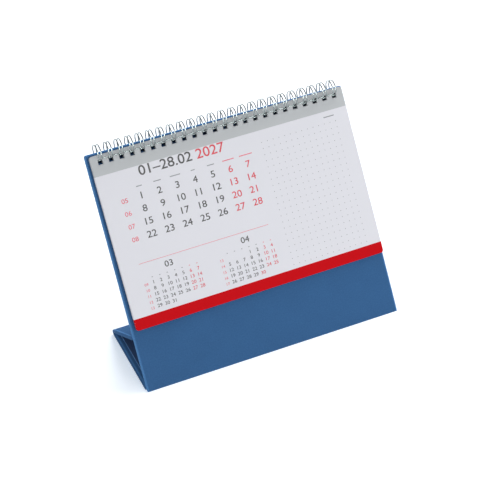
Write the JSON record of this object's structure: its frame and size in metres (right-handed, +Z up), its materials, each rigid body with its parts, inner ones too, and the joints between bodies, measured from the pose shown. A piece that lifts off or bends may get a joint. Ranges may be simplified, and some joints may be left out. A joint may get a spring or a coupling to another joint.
{
  "type": "desk calendar",
  "caption": "Desk calendar: cloth-covered board leaning on a folded foot, with punched sheets that turn over the top on a twin-loop wire comb.",
  "frame": {"origin": "on the desk, on the underside of the base board, 40 mm behind the board's front bottom edge and midway across", "axes": "+Z up, the printed face looks along -Y, +X to the right when facing it"},
  "size_m": [0.2156, 0.1119, 0.1588],
  "materials": {
    "cloth": "fine matt book cloth",
    "greyboard": "uncoated greyboard",
    "lining": "matt endpaper",
    "paper": "smooth offset paper",
    "wire": "bright silver lacquered wire"
  },
  "bodies": {
    "stand": {"cloth_cover": "cloth", "front_board": "greyboard", "base_board": "greyboard", "flap_board": "greyboard", "tab_card": "greyboard", "back_lining": "lining", "foot_lining": "lining"},
    "comb": {"wire_comb": "wire"},
    "sheet_01": {"sheet_01": "paper"},
    "sheet_02": {"sheet_02": "paper"},
    "sheet_03": {"sheet_03": "paper"},
    "sheet_04": {"sheet_04": "paper"},
    "sheet_05": {"sheet_05": "paper"},
    "sheet_06": {"sheet_06": "paper"},
    "sheet_07": {"sheet_07": "paper"},
    "sheet_08": {"sheet_08": "paper"},
    "sheet_09": {"sheet_09": "paper"},
    "sheet_10": {"sheet_10": "paper"},
    "sheet_11": {"sheet_11": "paper"},
    "sheet_12": {"sheet_12": "paper"}
  },
  "joints": [
    {"name": "wire_turn", "type": "hinge", "parent": "stand", "child": "comb", "pos_m": [0, 0.0652, 0.15181], "axis": [-1, 0, 0], "range_deg": [0, 268]},
    {"name": "sheet_01_swing", "type": "hinge", "parent": "comb", "child": "sheet_01", "pos_m": [0.0006, 0.05986, 0.14802], "axis": [-1, 0, 0], "range_deg": [0, 50]},
    {"name": "sheet_02_swing", "type": "hinge", "parent": "comb", "child": "sheet_02", "pos_m": [0.0006, 0.05999, 0.14785], "axis": [-1, 0, 0], "range_deg": [0, 50]},
    {"name": "sheet_03_swing", "type": "hinge", "parent": "comb", "child": "sheet_03", "pos_m": [0.0006, 0.06012, 0.14769], "axis": [-1, 0, 0], "range_deg": [0, 50]},
    {"name": "sheet_04_swing", "type": "hinge", "parent": "comb", "child": "sheet_04", "pos_m": [0.0006, 0.06024, 0.14752], "axis": [-1, 0, 0], "range_deg": [0, 50]},
    {"name": "sheet_05_swing", "type": "hinge", "parent": "comb", "child": "sheet_05", "pos_m": [0.0006, 0.06037, 0.14736], "axis": [-1, 0, 0], "range_deg": [0, 50]},
    {"name": "sheet_06_swing", "type": "hinge", "parent": "comb", "child": "sheet_06", "pos_m": [0.0006, 0.0605, 0.1472], "axis": [-1, 0, 0], "range_deg": [0, 50]},
    {"name": "sheet_07_swing", "type": "hinge", "parent": "comb", "child": "sheet_07", "pos_m": [0.0006, 0.06063, 0.14703], "axis": [-1, 0, 0], "range_deg": [0, 50]},
    {"name": "sheet_08_swing", "type": "hinge", "parent": "comb", "child": "sheet_08", "pos_m": [0.0006, 0.06076, 0.14687], "axis": [-1, 0, 0], "range_deg": [0, 50]},
    {"name": "sheet_09_swing", "type": "hinge", "parent": "comb", "child": "sheet_09", "pos_m": [0.0006, 0.06089, 0.1467], "axis": [-1, 0, 0], "range_deg": [0, 50]},
    {"name": "sheet_10_swing", "type": "hinge", "parent": "comb", "child": "sheet_10", "pos_m": [0.0006, 0.06102, 0.14654], "axis": [-1, 0, 0], "range_deg": [0, 50]},
    {"name": "sheet_11_swing", "type": "hinge", "parent": "comb", "child": "sheet_11", "pos_m": [0.0006, 0.06115, 0.14638], "axis": [-1, 0, 0], "range_deg": [0, 50]},
    {"name": "sheet_12_swing", "type": "hinge", "parent": "comb", "child": "sheet_12", "pos_m": [0.0006, 0.06128, 0.14621], "axis": [-1, 0, 0], "range_deg": [0, 50]}
  ],
  "couplings": [
    {"joint": "sheet_01_swing", "follows": "wire_turn", "ratio": 0.1865},
    {"joint": "sheet_02_swing", "follows": "wire_turn", "ratio": 0.1865},
    {"joint": "sheet_03_swing", "follows": "wire_turn", "ratio": 0.1865},
    {"joint": "sheet_04_swing", "follows": "wire_turn", "ratio": 0.1865},
    {"joint": "sheet_05_swing", "follows": "wire_turn", "ratio": 0.1865},
    {"joint": "sheet_06_swing", "follows": "wire_turn", "ratio": 0.1865},
    {"joint": "sheet_07_swing", "follows": "wire_turn", "ratio": 0.1865},
    {"joint": "sheet_08_swing", "follows": "wire_turn", "ratio": 0.1865},
    {"joint": "sheet_09_swing", "follows": "wire_turn", "ratio": 0.1865},
    {"joint": "sheet_10_swing", "follows": "wire_turn", "ratio": 0.1865},
    {"joint": "sheet_11_swing", "follows": "wire_turn", "ratio": 0.1865},
    {"joint": "sheet_12_swing", "follows": "wire_turn", "ratio": 0.1865}
  ]
}
